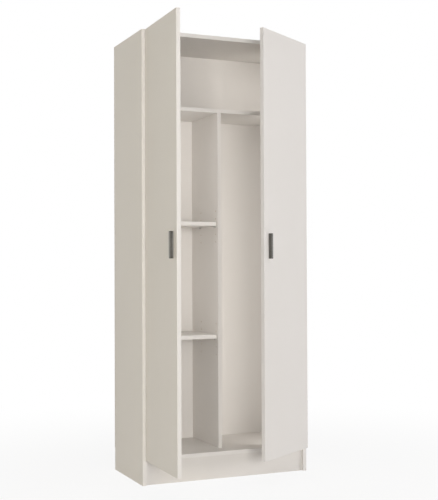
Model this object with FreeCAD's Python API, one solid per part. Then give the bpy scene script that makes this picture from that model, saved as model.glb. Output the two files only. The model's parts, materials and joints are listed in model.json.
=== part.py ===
import FreeCAD, Part
import math
import os

# Tall storage cabinet on a plinth, two doors on concealed hinges, both standing open.
# Millimetres. Origin at the middle of the plinth board's underside, +Z up, front towards -Y.

# Overall sizes
cabinet_width = 728.0
cabinet_height = 1800.0
side_depth = 355.0
side_thickness = 16.0
panel_thickness = 16.0
shelf_thickness = 16.0
plinth_height = 94.0
plinth_thickness = 16.0
plinth_recess = 10.0
back_thickness = 3.0
edge_round = 0.8

# Inside layout
inner_setback = 72.0
top_bay_height = 270.0
divider_offset = 0.0
lower_shelf_underside = 560.5
upper_shelf_underside = 1029.0
loose_shelf_setback = 14.0
loose_shelf_gap = 1.2
loose_shelf_back_gap = 3.0

# Doors
door_thickness = 16.0
door_reveal = 1.5
door_centre_gap = 3.0
door_front_gap = 2.0
door_underside = 97.5
door_top_reveal = 1.5
door_round = 1.0
left_door_angle = 91.2
right_door_angle = 34.1

# Handles
handle_length = 100.0
handle_width = 10.0
handle_projection = 15.0
handle_head_depth = 7.0
handle_foot_width = 8.0
handle_foot_depth = 3.0
handle_neck_width = 6.4
handle_round = 1.6
handle_centre_height = 940.0
handle_edge_distance = 40.0
handle_screw_spacing = 64.0
handle_screw_radius = 2.0
handle_screw_grip = 8.0
handle_screw_head_radius = 4.0
handle_screw_head_height = 2.4

# Concealed hinges, seen from above: across is from the side's outer face, behind is from its front edge
hinges_per_door = 3
hinge_end_distance = 110.0
arm_pivot_across = 36.0
arm_pivot_behind = 10.5
cup_pin_across = 12.8
cup_pin_ahead = 5.2
link_elbow_across = 19.9
link_elbow_ahead = 11.2
link_turn_share = 0.36
link_half_thickness = 1.7
link_eye_radius = 2.9
link_width = 13.4
hinge_pin_radius = 1.5
pin_running_clearance = 0.05
link_side_clearance = 0.3
cup_radius = 17.5
cup_edge_distance = 5.0
cup_depth = 12.3
cup_floor = 0.9
cup_end_wall = 2.9
cup_pin_length = 20.0
flange_thickness = 1.0
flange_half_height = 29.0
flange_start = 17.5
flange_width = 22.0
flange_round = 5.0
cup_screw_spacing = 45.0
cup_screw_offset = 9.5
cup_screw_radius = 1.6
cup_screw_length = 13.0
cup_screw_head_radius = 3.4
cup_screw_head_height = 1.6
arm_sheet = 1.5
arm_end_behind = 62.0
arm_web_start = 18.0
arm_flange_foot = 4.0
arm_nose_radius = 3.8
plate_thickness = 2.0
plate_start = 24.0
plate_length = 28.0
plate_half_height = 24.0
plate_round = 4.0
plate_block_length = 37.0
plate_screw_behind = 37.0
plate_screw_spacing = 32.0
plate_screw_radius = 2.2
plate_screw_length = 12.0
plate_screw_head_radius = 4.0
plate_screw_head_height = 2.0
arm_screw_spacing = 22.0
arm_screw_radius = 2.0
arm_screw_length = 12.0
arm_screw_head_radius = 3.6
arm_screw_head_height = 2.2

# Shelf supports in two columns of holes
support_pitch = 32.0
support_spare_holes = 2
support_row_behind = 22.0
support_row_spacing = 160.0
support_radius = 2.5
support_flat = 2.5
support_hole_depth = 9.0
support_pin_depth = 8.0
support_collar_radius = 3.6
support_collar_thickness = 0.8
support_stud_length = 8.0
support_stud_radius = 3.0

# Cam fittings and dowels that hold the boards together
cam_inset = 37.0
cam_distance = 24.0
cam_radius = 7.5
cam_depth = 12.5
cam_slot_length = 9.0
cam_slot_width = 1.6
cam_slot_depth = 2.0
cam_channel_clearance = 0.3
bolt_thread_radius = 2.5
bolt_thread_length = 11.0
bolt_shank_radius = 2.5
bolt_head_radius = 3.4
bolt_head_length = 3.0
bolt_bore_radius = 4.0
dowel_radius = 4.0
dowel_in_side = 10.0
dowel_in_panel = 20.0
dowel_end_clearance = 1.0
dowel_offset = 32.0
plinth_cam_height = 30.0

# Screws through the bottom panel and the fixed shelf into the divider
divider_screw_inset = 60.0
divider_screw_head_radius = 5.0
divider_screw_head_length = 4.0
divider_screw_shank_radius = 3.5
divider_screw_thread_radius = 2.5
divider_screw_thread_length = 34.0

# Nails through the back panel
nail_pitch = 150.0
nail_edge_inset = 60.0
nail_radius = 0.7
nail_length = 20.0
nail_head_radius = 2.0
nail_head_thickness = 0.6

# Brackets that fasten the cabinet to the wall
bracket_thickness = 2.0
bracket_width = 16.0
bracket_drop = 28.0
bracket_reach = 34.0
bracket_screw_edge = 8.0
bracket_inset = 10.0
wall_hole_radius = 2.75
wall_hole_drop = 17.0
bracket_screw_radius = 1.75
bracket_screw_length = 13.0
bracket_screw_head_radius = 3.5
bracket_screw_head_height = 1.8
bracket_screw_spacing = 14.0

overrun = 1.0

# Planes worked out from the sizes above
Vector = FreeCAD.Vector
up = Vector(0, 0, 1)
behind = Vector(0, 1, 0)
across = Vector(1, 0, 0)
half_width = cabinet_width / 2
inner_half = half_width - side_thickness
front_y = -plinth_recess - plinth_thickness / 2
back_y = front_y + side_depth
plinth_front_y = front_y + plinth_recess
inner_front_y = front_y + inner_setback
shelf_front_y = inner_front_y + loose_shelf_setback
bottom_top = plinth_height + panel_thickness
top_underside = cabinet_height - panel_thickness
fixed_shelf_top = top_underside - top_bay_height
fixed_shelf_underside = fixed_shelf_top - panel_thickness
divider_left = divider_offset - panel_thickness / 2
divider_right = divider_offset + panel_thickness / 2
door_width = half_width - door_reveal - door_centre_gap / 2
door_top = cabinet_height - door_top_reveal
door_height = door_top - door_underside
hinge_pitch = (door_height - 2 * hinge_end_distance) / (hinges_per_door - 1)
hinge_heights = [door_underside + hinge_end_distance + k * hinge_pitch for k in range(hinges_per_door)]
support_rows = [inner_front_y + support_row_behind + k * support_row_spacing for k in range(2)]
support_steps = [k * support_pitch for k in range(-support_spare_holes, support_spare_holes + 1)]
shelf_undersides = {"lower": lower_shelf_underside, "upper": upper_shelf_underside}


def box(low, high):
    return Part.makeBox(high[0] - low[0], high[1] - low[1], high[2] - low[2], Vector(*low))


def rod(radius, length, start, direction):
    return Part.makeCylinder(radius, length, start, direction)


def mirrored(shape):
    return shape.mirror(Vector(0, 0, 0), across)


def cut_all(shape, tools):
    if not tools:
        return shape
    return shape.cut(Part.makeCompound(tools))


def front_rounded(shape, plane_y, thickness, radius):
    # rounds the long edges of the board's front face
    picked = []
    for edge in shape.Edges:
        on_front = all(abs(vertex.Y - plane_y) < radius for vertex in edge.Vertexes)
        if on_front and edge.Length > 2 * thickness:
            picked.append(edge)
    return shape.makeFillet(radius, picked)


def edges_along(shape, direction):
    picked = []
    for edge in shape.Edges:
        span = edge.Vertexes[-1].Point - edge.Vertexes[0].Point
        if abs(span.dot(direction)) > edge.Length / 2:
            picked.append(edge)
    return picked


def prism(points, base_z, height):
    loop = [Vector(x, y, base_z) for x, y in points]
    loop.append(loop[0])
    return Part.Face(Part.makePolygon(loop)).extrude(Vector(0, 0, height))


def side_x(hand, distance):
    # distance from a side's outer face towards the middle; hand is -1 for left and 1 for right
    return hand * (half_width - distance)


# Cam fittings: each entry is (hand, y, z, direction from the cam's open face into the board)
def board_joints(panel_front, centre_z, into):
    joints = []
    for hand in (-1, 1):
        for y in (panel_front + cam_inset, back_y - cam_inset):
            joints.append((hand, y, centre_z, into))
    return joints


def board_dowels(panel_front, centre_z):
    dowels = []
    for hand in (-1, 1):
        for y in (panel_front + cam_inset + dowel_offset, back_y - cam_inset - dowel_offset):
            dowels.append((hand, y, centre_z))
    return dowels


top_joints = board_joints(front_y, cabinet_height - panel_thickness / 2, -up)
bottom_joints = board_joints(front_y, plinth_height + panel_thickness / 2, up)
shelf_joints = board_joints(inner_front_y, fixed_shelf_top - panel_thickness / 2, up)
plinth_mid_y = plinth_front_y + plinth_thickness / 2
plinth_joints = [(hand, plinth_mid_y, plinth_cam_height, -behind) for hand in (-1, 1)]
top_dowels = board_dowels(front_y, cabinet_height - panel_thickness / 2)
bottom_dowels = board_dowels(front_y, plinth_height + panel_thickness / 2)
shelf_dowels = board_dowels(inner_front_y, fixed_shelf_top - panel_thickness / 2)
plinth_dowels = [(hand, plinth_mid_y, plinth_cam_height + dowel_offset) for hand in (-1, 1)]
all_joints = top_joints + bottom_joints + shelf_joints + plinth_joints
all_dowels = top_dowels + bottom_dowels + shelf_dowels + plinth_dowels


def joint_frame(joint):
    hand, y, z, into = joint
    wall = Vector(hand * inner_half, y, z)
    inward = Vector(-hand, 0, 0)
    return wall, inward, into


def cam_open_face(joint, thickness):
    wall, inward, into = joint_frame(joint)
    return wall + inward * cam_distance - into * (thickness / 2)


def cam_lock(joint, thickness):
    wall, inward, into = joint_frame(joint)
    face = cam_open_face(joint, thickness)
    cam = rod(cam_radius, cam_depth, face, into)
    channel_radius = bolt_head_radius + cam_channel_clearance
    channel_start = wall + inward * (cam_distance + cam_channel_clearance)
    cam = cam.cut(rod(channel_radius, cam_radius + cam_channel_clearance + overrun, channel_start, -inward))
    for turn in (0, 90):
        slot = Part.makeBox(cam_slot_length, cam_slot_width, cam_slot_depth + overrun,
                            Vector(-cam_slot_length / 2, -cam_slot_width / 2, -overrun))
        slot.rotate(Vector(0, 0, 0), up, turn)
        slot.Placement = FreeCAD.Placement(face, FreeCAD.Rotation(up, into)).multiply(slot.Placement)
        cam = cam.cut(slot)
    return cam


def cam_bolt(joint):
    wall, inward, into = joint_frame(joint)
    shank_length = cam_distance - bolt_head_length
    thread = rod(bolt_thread_radius, bolt_thread_length, wall, -inward)
    shank = rod(bolt_shank_radius, shank_length, wall, inward)
    head = rod(bolt_head_radius, bolt_head_length, wall + inward * shank_length, inward)
    return thread.fuse(shank).fuse(head).removeSplitter()


def panel_joint_holes(joints, thickness):
    holes = []
    for joint in joints:
        wall, inward, into = joint_frame(joint)
        holes.append(rod(cam_radius, cam_depth, cam_open_face(joint, thickness), into))
        holes.append(rod(bolt_bore_radius, cam_distance, wall, inward))
    return holes


def dowel(spot):
    hand, y, z = spot
    start = Vector(hand * (inner_half + dowel_in_side), y, z)
    return rod(dowel_radius, dowel_in_side + dowel_in_panel, start, Vector(-hand, 0, 0))


def panel_dowel_holes(spots):
    depth = dowel_in_panel + dowel_end_clearance
    holes = []
    for hand, y, z in spots:
        holes.append(rod(dowel_radius, depth, Vector(hand * inner_half, y, z), Vector(-hand, 0, 0)))
    return holes


def side_joint_holes(hand):
    holes = []
    for joint in all_joints:
        if joint[0] == hand:
            wall, inward, into = joint_frame(joint)
            holes.append(rod(bolt_thread_radius, bolt_thread_length, wall, -inward))
    for spot in all_dowels:
        if spot[0] == hand:
            wall = Vector(hand * inner_half, spot[1], spot[2])
            holes.append(rod(dowel_radius, dowel_in_side + dowel_end_clearance, wall, Vector(hand, 0, 0)))
    return holes


# Shelf supports
def support_holes(wall_x, direction):
    holes = []
    for underside in shelf_undersides.values():
        for y in support_rows:
            for step in support_steps:
                start = Vector(wall_x, y, underside - support_flat + step)
                holes.append(rod(support_radius, support_hole_depth, start, direction))
    return holes


def support_pin(wall_x, y, underside, direction):
    centre = Vector(wall_x, y, underside - support_flat)
    outside = rod(support_collar_radius, support_collar_thickness, centre, -direction)
    outside = outside.fuse(rod(support_stud_radius, support_stud_length, centre, -direction))
    reach = support_stud_length + support_collar_radius
    top_cut = box((wall_x - reach, y - reach, underside), (wall_x + reach, y + reach, underside + reach))
    outside = outside.cut(top_cut)
    return outside.fuse(rod(support_radius, support_pin_depth, centre, direction)).removeSplitter()


def support_pins(underside):
    pins = []
    for y in support_rows:
        pins.append(support_pin(-inner_half, y, underside, -across))
        pins.append(support_pin(divider_left, y, underside, across))
    return Part.makeCompound(pins)


# Nails through the back panel, as (x, z)
def spread(start, end, pitch):
    count = max(int(round((end - start) / pitch)), 1)
    return [start + (end - start) * k / count for k in range(count + 1)]


def nail_spots():
    spots = []
    heights = spread(plinth_height + nail_edge_inset, cabinet_height - nail_edge_inset, nail_pitch)
    for hand in (-1, 1):
        spots += [(side_x(hand, side_thickness / 2), z) for z in heights]
    inner_heights = spread(bottom_top + nail_edge_inset, fixed_shelf_underside - nail_edge_inset, nail_pitch)
    spots += [(divider_offset, z) for z in inner_heights]
    places = spread(-inner_half + nail_edge_inset, inner_half - nail_edge_inset, nail_pitch)
    for z in (plinth_height, fixed_shelf_underside, top_underside):
        spots += [(x, z + panel_thickness / 2) for x in places]
    return spots


nails_at = nail_spots()


def nail_holes():
    length = nail_length + overrun
    return [rod(nail_radius, length, Vector(x, back_y + back_thickness, z), -behind) for x, z in nails_at]


def nails():
    solids = []
    for x, z in nails_at:
        face = Vector(x, back_y + back_thickness, z)
        shaft = rod(nail_radius, nail_length, face, -behind)
        head = rod(nail_head_radius, nail_head_thickness, face, behind)
        solids.append(shaft.fuse(head))
    return Part.makeCompound(solids)


nail_tools = Part.makeCompound(nail_holes())


# Wall brackets under the top panel, against the back panel
def bracket_centre(hand):
    return hand * (inner_half - bracket_inset)


def bracket_screw_spots(hand):
    first_y = back_y - bracket_reach + bracket_screw_edge
    second_y = first_y + bracket_screw_spacing
    return [Vector(bracket_centre(hand), y, top_underside) for y in (first_y, second_y)]


def wall_hole(hand, length, start_y):
    start = Vector(bracket_centre(hand), start_y, top_underside - wall_hole_drop)
    return rod(wall_hole_radius, length, start, behind)


def wall_bracket(hand):
    x = bracket_centre(hand)
    leg = box((x - bracket_width / 2, back_y - bracket_thickness, top_underside - bracket_drop),
              (x + bracket_width / 2, back_y, top_underside))
    flat = box((x - bracket_width / 2, back_y - bracket_reach, top_underside - bracket_thickness),
               (x + bracket_width / 2, back_y, top_underside))
    bracket = leg.fuse(flat).removeSplitter()
    tools = [wall_hole(hand, bracket_thickness + 2 * overrun, back_y - bracket_thickness - overrun)]
    for spot in bracket_screw_spots(hand):
        tools.append(rod(bracket_screw_radius, bracket_thickness + overrun, spot, -up))
    return cut_all(bracket, tools)


def bracket_screws():
    solids = []
    for hand in (-1, 1):
        for spot in bracket_screw_spots(hand):
            seat = spot - up * bracket_thickness
            shaft = rod(bracket_screw_radius, bracket_screw_length, seat, up)
            head = rod(bracket_screw_head_radius, bracket_screw_head_height, seat, -up)
            solids.append(shaft.fuse(head))
    return Part.makeCompound(solids)


def bracket_pilot_holes():
    depth = bracket_screw_length - bracket_thickness
    holes = []
    for hand in (-1, 1):
        for spot in bracket_screw_spots(hand):
            holes.append(rod(bracket_screw_radius, depth, spot, up))
    return holes


# Divider screws, as (middle of the head's face, direction into the divider)
def divider_screw_spots():
    spots = []
    for y in (inner_front_y + divider_screw_inset, back_y - divider_screw_inset):
        spots.append((Vector(divider_offset, y, plinth_height), up))
        spots.append((Vector(divider_offset, y, fixed_shelf_top), -up))
    return spots


def divider_screw(face, into):
    head = rod(divider_screw_head_radius, divider_screw_head_length, face, into)
    shank = rod(divider_screw_shank_radius, panel_thickness, face, into)
    thread_start = face + into * panel_thickness
    thread = rod(divider_screw_thread_radius, divider_screw_thread_length, thread_start, into)
    return head.fuse(shank).fuse(thread).removeSplitter()


divider_screws = Part.makeCompound([divider_screw(face, into) for face, into in divider_screw_spots()])


# Boards
def plate_screw_spots(hand):
    x = hand * inner_half
    spots = []
    for z in hinge_heights:
        for k in (-1, 1):
            spots.append(Vector(x, front_y + plate_screw_behind, z + k * plate_screw_spacing / 2))
    return spots


def side_panel(hand):
    low_x = min(hand * half_width, hand * inner_half)
    board = box((low_x, front_y, 0), (low_x + side_thickness, back_y, cabinet_height))
    board = front_rounded(board, front_y, side_thickness, edge_round)
    tools = side_joint_holes(hand)
    pilot = plate_screw_length - plate_thickness
    tools += [rod(plate_screw_radius, pilot, spot, Vector(hand, 0, 0)) for spot in plate_screw_spots(hand)]
    if hand < 0:
        tools += support_holes(-inner_half, -across)
    return cut_all(board, tools).cut(nail_tools)


def cross_panel(panel_front, base_z):
    board = box((-inner_half, panel_front, base_z), (inner_half, back_y, base_z + panel_thickness))
    return front_rounded(board, panel_front, panel_thickness, edge_round)


def top_panel():
    board = cross_panel(front_y, top_underside)
    tools = panel_joint_holes(top_joints, panel_thickness) + panel_dowel_holes(top_dowels)
    tools += bracket_pilot_holes()
    return cut_all(board, tools).cut(nail_tools)


def bottom_panel():
    board = cross_panel(front_y, plinth_height)
    tools = panel_joint_holes(bottom_joints, panel_thickness) + panel_dowel_holes(bottom_dowels)
    return cut_all(board, tools).cut(nail_tools).cut(divider_screws)


def fixed_shelf():
    board = cross_panel(inner_front_y, fixed_shelf_underside)
    tools = panel_joint_holes(shelf_joints, panel_thickness) + panel_dowel_holes(shelf_dowels)
    return cut_all(board, tools).cut(nail_tools).cut(divider_screws)


def divider():
    board = box((divider_left, inner_front_y, bottom_top), (divider_right, back_y, fixed_shelf_underside))
    board = front_rounded(board, inner_front_y, panel_thickness, edge_round)
    board = cut_all(board, support_holes(divider_left, across))
    return board.cut(nail_tools).cut(divider_screws)


def plinth():
    board = box((-inner_half, plinth_front_y, 0),
                (inner_half, plinth_front_y + plinth_thickness, plinth_height))
    tools = panel_joint_holes(plinth_joints, plinth_thickness) + panel_dowel_holes(plinth_dowels)
    return cut_all(board, tools)


def back_panel():
    sheet = box((-half_width, back_y, plinth_height), (half_width, back_y + back_thickness, cabinet_height))
    tools = [wall_hole(hand, back_thickness + 2 * overrun, back_y - overrun) for hand in (-1, 1)]
    return cut_all(sheet, tools).cut(nail_tools)


def loose_shelf(underside):
    board = box((-inner_half + loose_shelf_gap, shelf_front_y, underside),
                (divider_left - loose_shelf_gap, back_y - loose_shelf_back_gap, underside + shelf_thickness))
    return front_rounded(board, shelf_front_y, shelf_thickness, edge_round)


# Hinge pieces are drawn for the left door when it is shut, then turned and, for the right door, mirrored
arm_pivot = Vector(side_x(-1, arm_pivot_across), front_y + arm_pivot_behind, 0)
cup_pin = Vector(side_x(-1, cup_pin_across), front_y - cup_pin_ahead, 0)
link_elbow = Vector(side_x(-1, link_elbow_across), front_y - link_elbow_ahead, 0)
hinge_edge_x = side_x(-1, door_reveal)
inner_face_y = front_y - door_front_gap
outer_face_y = inner_face_y - door_thickness
cup_centre = Vector(hinge_edge_x + cup_edge_distance + cup_radius, inner_face_y, 0)
slot_half_width = link_width / 2 + link_side_clearance
side_face_x = -inner_half
web_inner_x = arm_pivot.x
block_half_width = slot_half_width - link_side_clearance
arm_screw_first = plate_start + (plate_block_length - arm_screw_spacing) / 2
handle_x = hinge_edge_x + door_width - handle_edge_distance
handle_screw_heights = [handle_centre_height + k * handle_screw_spacing / 2 for k in (-1, 1)]


def at_heights(shape):
    return Part.makeCompound([shape.translated(Vector(0, 0, z)) for z in hinge_heights])


def cup_tools():
    return rod(cup_radius, cup_depth, cup_centre, -behind)


def cup_screw_spots():
    x = cup_centre.x + cup_screw_offset
    return [Vector(x, inner_face_y, k * cup_screw_spacing / 2) for k in (-1, 1)]


def cup_pin_rod(radius):
    return rod(radius, cup_pin_length, cup_pin - up * (cup_pin_length / 2), up)


def hinge_cup():
    cup = cup_tools()
    flange_low_x = cup_centre.x - cup_radius - cup_edge_distance + flange_start
    flange = box((flange_low_x, inner_face_y, -flange_half_height),
                 (flange_low_x + flange_width, inner_face_y + flange_thickness, flange_half_height))
    flange = flange.makeFillet(flange_round, edges_along(flange, behind))
    cup = cup.fuse(flange).removeSplitter()
    pocket_reach = cup_radius - cup_end_wall
    pocket = box((cup_centre.x - pocket_reach, inner_face_y - cup_depth + cup_floor, -slot_half_width),
                 (cup_centre.x + pocket_reach, inner_face_y + flange_thickness + overrun, slot_half_width))
    screws = [rod(cup_screw_radius, flange_thickness + overrun, spot, behind) for spot in cup_screw_spots()]
    return cut_all(cup, [pocket, cup_pin_rod(hinge_pin_radius)] + screws)


def cup_screws():
    solids = []
    for spot in cup_screw_spots():
        seat = spot + behind * flange_thickness
        shaft = rod(cup_screw_radius, cup_screw_length, seat, -behind)
        head = rod(cup_screw_head_radius, cup_screw_head_height, seat, behind)
        solids.append(shaft.fuse(head))
    return Part.makeCompound(solids)


def straight_bar(start, end):
    # a bar of the link's thickness between two upright lines
    along = end - start
    offset = Vector(-along.y, along.x, 0) * (link_half_thickness / along.Length)
    corners = [start + offset, end + offset, end - offset, start - offset]
    return prism([(point.x, point.y) for point in corners], -link_width / 2, link_width)


def round_post(radius, centre, height):
    return rod(radius, height, centre - up * (height / 2), up)


def hinge_link():
    link = straight_bar(arm_pivot, link_elbow).fuse(straight_bar(link_elbow, cup_pin))
    link = link.fuse(round_post(link_half_thickness, link_elbow, link_width))
    for pivot in (arm_pivot, cup_pin):
        link = link.fuse(round_post(link_eye_radius, pivot, link_width))
    bore_radius = hinge_pin_radius + pin_running_clearance
    bores = [round_post(bore_radius, pivot, link_width) for pivot in (arm_pivot, cup_pin)]
    return cut_all(link, bores).removeSplitter()


def arm_pin_rod():
    return round_post(hinge_pin_radius, arm_pivot, 2 * (slot_half_width + arm_sheet))


def arm_screw_spots():
    x = web_inner_x + arm_sheet
    return [Vector(x, front_y + arm_screw_first + k * arm_screw_spacing, 0) for k in range(2)]


def hinge_arm():
    outer_half = slot_half_width + arm_sheet
    foot_x = side_face_x + arm_flange_foot
    start_y = front_y + plate_start
    end_y = front_y + arm_end_behind
    outline = [(foot_x, end_y), (foot_x, start_y), (arm_pivot.x, arm_pivot.y - arm_nose_radius),
               (web_inner_x + arm_sheet, arm_pivot.y - arm_nose_radius / 2), (web_inner_x + arm_sheet, end_y)]
    body = prism(outline, -outer_half, 2 * outer_half)
    body = body.fuse(round_post(arm_nose_radius, arm_pivot, 2 * outer_half))
    reach = 2 * arm_nose_radius
    hollow = box((foot_x - reach, arm_pivot.y - reach, -slot_half_width),
                 (web_inner_x, end_y + reach, slot_half_width))
    mouth = box((web_inner_x - overrun, arm_pivot.y - reach, -slot_half_width),
                (web_inner_x + reach, front_y + arm_web_start, slot_half_width))
    tools = [hollow, mouth, arm_pin_rod()]
    for spot in arm_screw_spots():
        tools.append(rod(arm_screw_radius, arm_sheet, spot, -across))
    return cut_all(body, tools)


def hinge_plate():
    start_y = front_y + plate_start
    wings = box((side_face_x, start_y, -plate_half_height),
                (side_face_x + plate_thickness, start_y + plate_length, plate_half_height))
    wings = wings.makeFillet(plate_round, edges_along(wings, across))
    block = box((side_face_x, start_y, -block_half_width),
                (web_inner_x, start_y + plate_block_length, block_half_width))
    plate = wings.fuse(block).removeSplitter()
    tools = []
    for k in (-1, 1):
        spot = Vector(side_face_x, front_y + plate_screw_behind, k * plate_screw_spacing / 2)
        tools.append(rod(plate_screw_radius, plate_thickness, spot, across))
    for spot in arm_screw_spots():
        tools.append(rod(arm_screw_radius, arm_screw_length, spot, -across))
    return cut_all(plate, tools)


def plate_screws():
    solids = []
    for k in (-1, 1):
        z = k * plate_screw_spacing / 2
        seat = Vector(side_face_x + plate_thickness, front_y + plate_screw_behind, z)
        shaft = rod(plate_screw_radius, plate_screw_length, seat, -across)
        head = rod(plate_screw_head_radius, plate_screw_head_height, seat, across)
        solids.append(shaft.fuse(head))
    return Part.makeCompound(solids)


def arm_screws():
    solids = []
    for seat in arm_screw_spots():
        shaft = rod(arm_screw_radius, arm_screw_length, seat, -across)
        head = rod(arm_screw_head_radius, arm_screw_head_height, seat, across)
        solids.append(shaft.fuse(head))
    return Part.makeCompound(solids)


# Doors and handles, also drawn shut on the left
def door():
    board = box((hinge_edge_x, outer_face_y, door_underside),
                (hinge_edge_x + door_width, inner_face_y, door_top))
    board = board.makeFillet(door_round, board.Edges)
    tools = []
    for z in hinge_heights:
        tools.append(cup_tools().translated(Vector(0, 0, z)))
        for spot in cup_screw_spots():
            depth = cup_screw_length - flange_thickness
            tools.append(rod(cup_screw_radius, depth, spot + up * z, -behind))
    for z in handle_screw_heights:
        start = Vector(handle_x, inner_face_y, z)
        tools.append(rod(handle_screw_radius, door_thickness, start, -behind))
    return cut_all(board, tools)


def handle():
    foot = handle_foot_width / 2
    neck = handle_neck_width / 2
    head = handle_width / 2
    neck_end = handle_projection - handle_head_depth
    half_outline = [(foot, 0), (foot, handle_foot_depth), (neck, handle_foot_depth), (neck, neck_end),
                    (head, neck_end), (head, handle_projection)]
    outline = half_outline + [(-x, depth) for x, depth in reversed(half_outline)]
    base_z = handle_centre_height - handle_length / 2
    bar = prism([(handle_x + x, outer_face_y - depth) for x, depth in outline], base_z, handle_length)
    front = outer_face_y - handle_projection
    rims = [edge for edge in bar.Edges if all(abs(vertex.Y - front) < edge_round for vertex in edge.Vertexes)]
    bar = bar.makeFillet(handle_round, rims)
    holes = [rod(handle_screw_radius, handle_screw_grip, Vector(handle_x, outer_face_y, z), -behind)
             for z in handle_screw_heights]
    return cut_all(bar, holes)


def handle_screws():
    solids = []
    for z in handle_screw_heights:
        seat = Vector(handle_x, inner_face_y, z)
        shaft = rod(handle_screw_radius, door_thickness + handle_screw_grip, seat, -behind)
        head = rod(handle_screw_head_radius, handle_screw_head_height, seat, behind)
        solids.append(shaft.fuse(head))
    return Part.makeCompound(solids)


# Motion: the link turns one way by a share of the door's angle while the door turns the other way
def cup_pin_at(angle):
    turned = math.radians(link_turn_share * angle)
    reach = cup_pin - arm_pivot
    return arm_pivot + Vector(reach.x * math.cos(turned) - reach.y * math.sin(turned),
                              reach.x * math.sin(turned) + reach.y * math.cos(turned), 0)


def link_opened(shape, angle):
    turned = shape.copy()
    turned.rotate(arm_pivot, up, link_turn_share * angle)
    return turned


def door_opened(shape, angle):
    turned = shape.copy()
    turned.rotate(cup_pin, up, -angle)
    turned.translate(cup_pin_at(angle) - cup_pin)
    return turned


def handed(shape, side):
    return shape if side == "left" else mirrored(shape)


door_angles = {"left": left_door_angle, "right": right_door_angle}


def door_side_pieces(side):
    angle = door_angles[side]
    fixed = {
        "hinge_arms": at_heights(hinge_arm()),
        "hinge_plates": at_heights(hinge_plate()),
        "hinge_plate_screws": at_heights(plate_screws()),
        "hinge_arm_screws": at_heights(arm_screws()),
        "hinge_arm_pins": at_heights(arm_pin_rod()),
    }
    on_door = {
        "door": door(),
        "handle": handle(),
        "handle_screws": handle_screws(),
        "hinge_cups": at_heights(hinge_cup()),
        "hinge_cup_screws": at_heights(cup_screws()),
        "hinge_cup_pins": at_heights(cup_pin_rod(hinge_pin_radius)),
    }
    pieces = {side + "_" + name: handed(shape, side) for name, shape in fixed.items()}
    for name, shape in on_door.items():
        pieces[side + "_" + name] = handed(door_opened(shape, angle), side)
    pieces[side + "_hinge_links"] = handed(link_opened(at_heights(hinge_link()), angle), side)
    return pieces


nodes = {
    "left_side_panel": side_panel(-1),
    "right_side_panel": side_panel(1),
    "top_panel": top_panel(),
    "bottom_panel": bottom_panel(),
    "fixed_shelf": fixed_shelf(),
    "divider": divider(),
    "plinth": plinth(),
    "back_panel": back_panel(),
    "lower_loose_shelf": loose_shelf(lower_shelf_underside),
    "upper_loose_shelf": loose_shelf(upper_shelf_underside),
    "lower_shelf_supports": support_pins(lower_shelf_underside),
    "upper_shelf_supports": support_pins(upper_shelf_underside),
    "cam_bolts": Part.makeCompound([cam_bolt(joint) for joint in all_joints]),
    "cam_locks": Part.makeCompound(
        [cam_lock(joint, panel_thickness) for joint in top_joints + bottom_joints + shelf_joints]
        + [cam_lock(joint, plinth_thickness) for joint in plinth_joints]),
    "wood_dowels": Part.makeCompound([dowel(spot) for spot in all_dowels]),
    "divider_screws": divider_screws,
    "back_panel_nails": nails(),
    "wall_brackets": Part.makeCompound([wall_bracket(hand) for hand in (-1, 1)]),
    "wall_bracket_screws": bracket_screws(),
}
nodes.update(door_side_pieces("left"))
nodes.update(door_side_pieces("right"))

os.makedirs("parts", exist_ok=True)
for name, shape in nodes.items():
    shape.exportStep("parts/" + name + ".step")
    state = "valid" if shape.isValid() else "INVALID"
    print(name, len(shape.Solids), "solids", round(shape.Volume), "mm3", state)

for side, hand in (("left", -1), ("right", 1)):
    opened = cup_pin_at(door_angles[side])
    print(side, "arm pivot", [round(hand * -arm_pivot.x, 4), round(arm_pivot.y, 4)],
          "cup pin", [round(hand * -opened.x, 4), round(opened.y, 4)])
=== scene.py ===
import bmesh
import bpy
import json
import math
from mathutils import Matrix, Vector


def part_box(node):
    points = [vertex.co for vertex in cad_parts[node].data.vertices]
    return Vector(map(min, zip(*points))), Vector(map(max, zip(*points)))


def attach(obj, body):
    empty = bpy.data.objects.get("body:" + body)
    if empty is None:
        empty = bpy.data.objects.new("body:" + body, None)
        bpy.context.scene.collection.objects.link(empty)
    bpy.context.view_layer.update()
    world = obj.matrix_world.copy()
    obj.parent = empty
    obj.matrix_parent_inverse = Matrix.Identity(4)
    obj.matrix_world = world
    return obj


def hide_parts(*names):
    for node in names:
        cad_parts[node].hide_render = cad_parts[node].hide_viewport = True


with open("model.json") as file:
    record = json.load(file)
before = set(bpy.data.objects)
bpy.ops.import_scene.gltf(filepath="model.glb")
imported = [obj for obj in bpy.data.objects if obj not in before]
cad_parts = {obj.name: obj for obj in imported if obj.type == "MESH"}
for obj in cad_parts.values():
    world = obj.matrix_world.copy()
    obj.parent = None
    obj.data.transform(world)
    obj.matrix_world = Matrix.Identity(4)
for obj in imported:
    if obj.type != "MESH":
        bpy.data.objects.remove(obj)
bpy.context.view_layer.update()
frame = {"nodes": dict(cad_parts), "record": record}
print("frame loaded:", len(frame["nodes"]), "nodes")

millimetre = 0.001

# The view of the photograph: where the camera stands, which way it looks and how long its lens is
cameraView = {
    "place": (-1.6531, -3.7255, 0.8611),
    "turnRight": 23.59,      # degrees, from straight ahead
    "tiltUp": 0.934,
    "roll": 0.222,
    "focalPixels": 994.4,
    "framePixels": 500,      # the long side of the picture
    "sensor": 36.0,
}


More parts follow.
